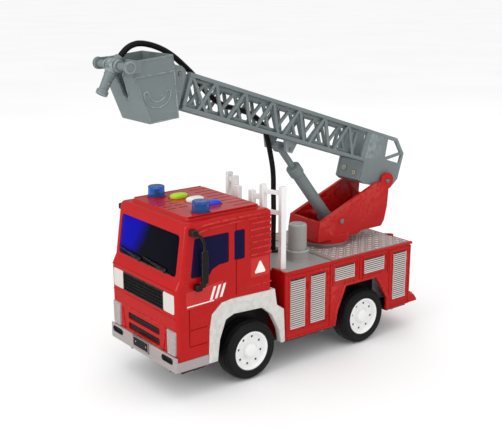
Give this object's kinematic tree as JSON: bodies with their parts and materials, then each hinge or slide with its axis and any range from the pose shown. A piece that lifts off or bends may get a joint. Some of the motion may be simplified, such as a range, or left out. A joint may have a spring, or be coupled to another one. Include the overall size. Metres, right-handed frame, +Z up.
{
  "type": "toy fire engine",
  "caption": "Toy fire engine with rolling wheels, turntable, lifting and sliding ladder, tilting basket with a water nozzle, hose, hand pump and roof buttons.",
  "frame": {"origin": "on the ground, in the middle of the bounding box in X and Y", "axes": "+X towards the cab, +Y to the vehicle's left, +Z up"},
  "size_m": [0.301, 0.106, 0.2663],
  "materials": {
    "red_shell": "glossy red moulded plastic",
    "white_shell": "semi-gloss white moulded plastic",
    "chassis": "black moulded plastic",
    "battery_cell": "plain printed sleeve over a steel can",
    "screw_steel": "zinc plated",
    "axle_steel": "bright drawn",
    "tyre": "soft black PVC",
    "gear": "natural acetal",
    "flywheel": "turned",
    "window": "dark tinted clear plastic",
    "grille": "gloss black",
    "silver": "silver foil or spray",
    "lamp": "clear lens over silver",
    "bumper": "silver-grey plastic",
    "arch": "light grey plastic",
    "black_trim": "black plastic",
    "beacon": "translucent blue lens",
    "green": "lime green cap",
    "blue": "blue cap",
    "board": "green laminate",
    "speaker": "black frame",
    "deck": "grey plastic",
    "tread": "grey plastic with tread lines",
    "grey_plastic": "mid grey plastic with a satin surface",
    "spring": "spring wire",
    "tank": "natural polythene",
    "hose": "soft black tube"
  },
  "bodies": {
    "root": {"battery_cells": "battery_cell", "battery_door": "chassis", "beacons": "beacon", "body_screws": "screw_steel", "cab_shell": "red_shell", "chassis_base": "chassis", "circuit_board": "board", "deck_plate": "deck", "door_mirrors": "black_trim", "front_bumper": "bumper", "front_lamps": "lamp", "grille": "grille", "grille_trims": "silver", "hose_outlet": "black_trim", "ladder_racks": "white_shell", "loudspeaker": "speaker", "motor_frame": "chassis", "pump_collar": "grey_plastic", "rear_body_shell": "red_shell", "rear_step": "red_shell", "roller_shutters": "silver", "side_windows": "window", "tread_plate": "tread", "water_tank": "tank", "wheel_arch_trims": "arch", "windscreen": "window"},
    "front_wheels": {"front_axle": "axle_steel", "tyres_front": "tyre", "rims_front": "white_shell"},
    "rear_wheels": {"rear_axle": "axle_steel", "tyres_rear": "tyre", "rims_rear": "white_shell", "drive_gear": "gear"},
    "idler": {"idler_gear": "gear"},
    "flywheel": {"flywheel": "flywheel"},
    "turntable": {"turntable": "red_shell", "swivel_retainer": "chassis", "turntable_pins": "axle_steel", "hose_riser_lower": "hose"},
    "ladder": {"ladder_outer": "grey_plastic", "ladder_mount": "grey_plastic", "mount_screws": "screw_steel", "rod_pin": "axle_steel", "hose_riser_upper": "hose"},
    "ladder_inner": {"ladder_inner": "grey_plastic", "hose_in_ladder": "hose"},
    "basket": {"basket": "grey_plastic", "basket_bracket": "grey_plastic", "basket_pin": "axle_steel", "nozzle_bar": "grey_plastic", "hose_arch_rear": "hose"},
    "nozzle": {"nozzle": "grey_plastic", "hose_arch_front": "hose"},
    "lift_rod": {"lift_rod": "grey_plastic"},
    "lift_barrel": {"lift_barrel": "grey_plastic"},
    "pump_plunger": {"pump_plunger": "grey_plastic", "pump_spring": "spring"},
    "button_green": {"button_green": "green"},
    "button_white": {"button_white": "white_shell"},
    "button_blue": {"button_blue": "blue"}
  },
  "joints": [
    {"name": "front_wheels_roll", "type": "hinge", "parent": "root", "child": "front_wheels", "pos_m": [0.048, 0, 0.02435], "axis": [0, 1, 0], "continuous": true},
    {"name": "rear_wheels_roll", "type": "hinge", "parent": "root", "child": "rear_wheels", "pos_m": [-0.0748, 0, 0.02435], "axis": [0, 1, 0], "continuous": true},
    {"name": "idler_spin", "type": "hinge", "parent": "root", "child": "idler", "pos_m": [-0.0648, 0, 0.03235], "axis": [0, 1, 0], "continuous": true},
    {"name": "flywheel_spin", "type": "hinge", "parent": "root", "child": "flywheel", "pos_m": [-0.0538, 0, 0.04035], "axis": [0, 1, 0], "continuous": true},
    {"name": "turntable_swivel", "type": "hinge", "parent": "root", "child": "turntable", "pos_m": [-0.0705, 0, 0.09], "axis": [0, 0, 1], "range_deg": [-45, 45], "deforming": ["hose_riser_lower"]},
    {"name": "ladder_lift", "type": "hinge", "parent": "turntable", "child": "ladder", "pos_m": [-0.1266, 0, 0.1329], "axis": [0, -1, 0], "range_deg": [-17, 20], "deforming": ["hose_riser_upper"]},
    {"name": "ladder_extend", "type": "slide", "parent": "ladder", "child": "ladder_inner", "axis": [0.9494, 0, 0.314], "range_m": [0, 0.08], "deforming": ["hose_in_ladder"]},
    {"name": "basket_tilt", "type": "hinge", "parent": "ladder_inner", "child": "basket", "pos_m": [0.09015, 0, 0.24218], "axis": [0, -1, 0], "range_deg": [0, 45], "deforming": ["hose_arch_rear"]},
    {"name": "nozzle_tilt", "type": "hinge", "parent": "basket", "child": "nozzle", "pos_m": [0.13564, 0, 0.24985], "axis": [0, -1, 0], "range_deg": [-15, 50], "deforming": ["hose_arch_front"]},
    {"name": "rod_swing", "type": "hinge", "parent": "ladder", "child": "lift_rod", "pos_m": [-0.01699, 0, 0.17347], "axis": [0, -1, 0], "range_deg": [-3, 4]},
    {"name": "barrel_slide", "type": "slide", "parent": "lift_rod", "child": "lift_barrel", "axis": [-0.6193, 0, -0.7851], "range_m": [-0.02, 0.023]},
    {"name": "pump_press", "type": "slide", "parent": "root", "child": "pump_plunger", "axis": [0, 0, -1], "range_m": [0, 0.012], "stiffness_N_per_m": 120, "springref_m": -0.003, "deforming": ["pump_spring"]},
    {"name": "green_button_press", "type": "slide", "parent": "root", "child": "button_green", "axis": [0, 0, -1], "range_m": [0, 0.0018], "stiffness_N_per_m": 150, "springref_m": -0.0005},
    {"name": "white_button_press", "type": "slide", "parent": "root", "child": "button_white", "axis": [0, 0, -1], "range_m": [0, 0.0018], "stiffness_N_per_m": 150, "springref_m": -0.0005},
    {"name": "blue_button_press", "type": "slide", "parent": "root", "child": "button_blue", "axis": [0, 0, -1], "range_m": [0, 0.0018], "stiffness_N_per_m": 150, "springref_m": -0.0005}
  ],
  "couplings": [
    {"joint": "idler_spin", "follows": "rear_wheels_roll", "ratio": -2.2},
    {"joint": "flywheel_spin", "follows": "rear_wheels_roll", "ratio": 5.28},
    {"joint": "rod_swing", "follows": "ladder_lift", "ratio": 0.1175},
    {"joint": "barrel_slide", "follows": "ladder_lift", "m_per_rad": 0.0595}
  ]
}
